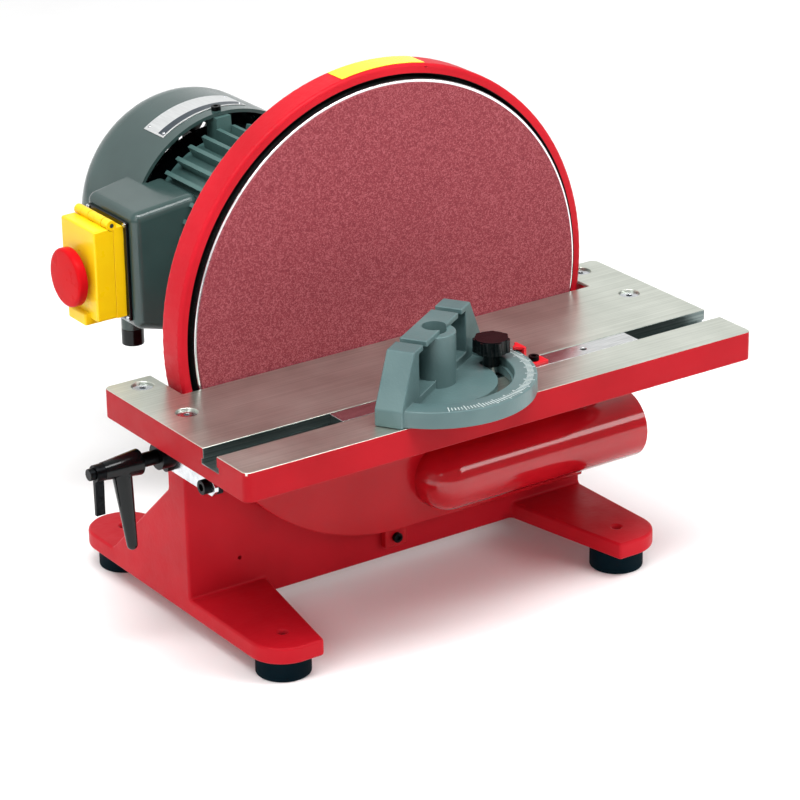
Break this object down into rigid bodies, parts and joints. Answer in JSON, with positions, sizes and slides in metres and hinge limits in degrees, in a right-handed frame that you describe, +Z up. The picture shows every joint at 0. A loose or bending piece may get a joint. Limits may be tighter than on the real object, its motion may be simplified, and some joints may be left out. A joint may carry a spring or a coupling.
{
  "type": "benchtop disc sander",
  "caption": "Benchtop disc sander: motor-driven abrasive disc in a cast guard, tilting slotted table with mitre gauge, dust spout, clamp lever and flap switch.",
  "frame": {"origin": "on the bench, at the middle of the whole machine's footprint", "axes": "+X to the right along the disc's face, +Y from the abrasive face back to the motor, +Z up"},
  "size_m": [0.4326, 0.4482, 0.365],
  "materials": {
    "red_casting": "red gloss paint over a cast surface",
    "red_sheet": "red gloss paint, smooth",
    "ground_iron": "ground and polished top, red painted edges",
    "rubber": "matte",
    "zinc": "zinc plated",
    "black_steel": "black oxide",
    "motor_paint": "grey-green paint",
    "cowl_plastic": "grey-green, satin",
    "core_steel": "laminated sheets",
    "copper": "varnished wire",
    "bright_steel": "ground",
    "label": "bare plate",
    "black_plastic": "fine grain",
    "grey_plastic": "plain",
    "yellow_plastic": "smooth",
    "red_plastic": "smooth",
    "green_plastic": "smooth",
    "disc_aluminium": "turned",
    "abrasive": "coated with abrasive grain",
    "gauge_paint": "grey-green paint on a die casting",
    "pointer_paint": "red paint"
  },
  "bodies": {
    "base": {"base_casting": "red_casting", "rubber_feet": "rubber", "foot_screws": "zinc", "lower_guard": "red_sheet", "guard_screws": "black_steel", "motor_flange": "motor_paint", "motor_bolts": "black_steel", "motor_body": "motor_paint", "stator_core": "core_steel", "stator_windings": "copper", "front_bearing": "bright_steel", "rear_bearing": "bright_steel", "rear_shield": "motor_paint", "fan_cowl": "cowl_plastic", "cowl_screws": "black_steel", "rating_plate": "label", "switch_panel": "black_plastic", "panel_screws": "zinc", "switch_frame": "yellow_plastic", "hinge_pin": "zinc", "contact_block": "grey_plastic", "cable_gland": "black_plastic", "seat_left": "black_steel", "seat_right": "black_steel", "bar_left": "zinc", "bar_right": "zinc", "bar_screws": "black_steel", "guide_pins": "zinc", "clamp_bolt_right": "black_steel"},
    "disc": {"motor_shaft": "bright_steel", "rotor_core": "core_steel", "cooling_fan": "black_plastic", "disc_plate": "disc_aluminium", "abrasive_disc": "abrasive", "disc_screws": "black_steel"},
    "table": {"work_table": "ground_iron", "trunnion_left": "black_steel", "trunnion_right": "black_steel", "table_screws": "zinc"},
    "lever": {"lever_stud": "black_steel", "lever_handle": "black_plastic", "lever_tab": "black_steel"},
    "lever_button": {"lever_button": "black_steel"},
    "mitre_slide": {"guide_bar": "bright_steel", "scale_pointer": "pointer_paint", "pointer_screw": "black_steel", "pivot_screw": "black_steel", "knob_stud": "bright_steel"},
    "mitre_head": {"mitre_head": "gauge_paint"},
    "star_knob": {"star_knob": "black_plastic"},
    "switch_flap": {"switch_flap": "yellow_plastic"},
    "stop_mushroom": {"stop_mushroom": "red_plastic"},
    "start_button": {"start_button": "green_plastic"},
    "stop_button": {"stop_button": "red_plastic"}
  },
  "joints": [
    {"name": "disc_spin", "type": "hinge", "parent": "base", "child": "disc", "pos_m": [0.01632, -0.0661, 0.203], "axis": [0, 1, 0], "continuous": true},
    {"name": "table_tilt", "type": "hinge", "parent": "base", "child": "table", "pos_m": [0.01632, -0.0691, 0.1785], "axis": [1, 0, 0], "range_deg": [0, 45]},
    {"name": "lever_turn", "type": "hinge", "parent": "base", "child": "lever", "pos_m": [-0.19232, -0.0611, 0.137], "axis": [1, 0, 0], "range_deg": [-60, 60]},
    {"name": "lever_button_press", "type": "slide", "parent": "lever", "child": "lever_button", "axis": [1, 0, 0], "range_m": [0, 0.003], "stiffness_N_per_m": 300},
    {"name": "mitre_travel", "type": "slide", "parent": "table", "child": "mitre_slide", "axis": [1, 0, 0], "range_m": [-0.09, 0.065]},
    {"name": "mitre_turn", "type": "hinge", "parent": "mitre_slide", "child": "mitre_head", "pos_m": [-0.01367, -0.1581, 0.1788], "axis": [0, 0, 1], "range_deg": [-3, 117]},
    {"name": "knob_turn", "type": "hinge", "parent": "mitre_slide", "child": "star_knob", "pos_m": [0.03132, -0.1581, 0.19], "axis": [0, 0, 1], "range_deg": [-180, 180]},
    {"name": "flap_open", "type": "hinge", "parent": "base", "child": "switch_flap", "pos_m": [-0.09817, 0.1276, 0.233], "axis": [0, 1, 0], "range_deg": [0, 100]},
    {"name": "mushroom_press", "type": "slide", "parent": "switch_flap", "child": "stop_mushroom", "axis": [1, 0, 0], "range_m": [0, 0.003], "stiffness_N_per_m": 400},
    {"name": "start_press", "type": "slide", "parent": "base", "child": "start_button", "axis": [1, 0, 0], "range_m": [0, 0.003], "stiffness_N_per_m": 400},
    {"name": "stop_press", "type": "slide", "parent": "base", "child": "stop_button", "axis": [1, 0, 0], "range_m": [0, 0.003]}
  ],
  "couplings": [
    {"joint": "stop_press", "follows": "mushroom_press", "ratio": 1}
  ]
}
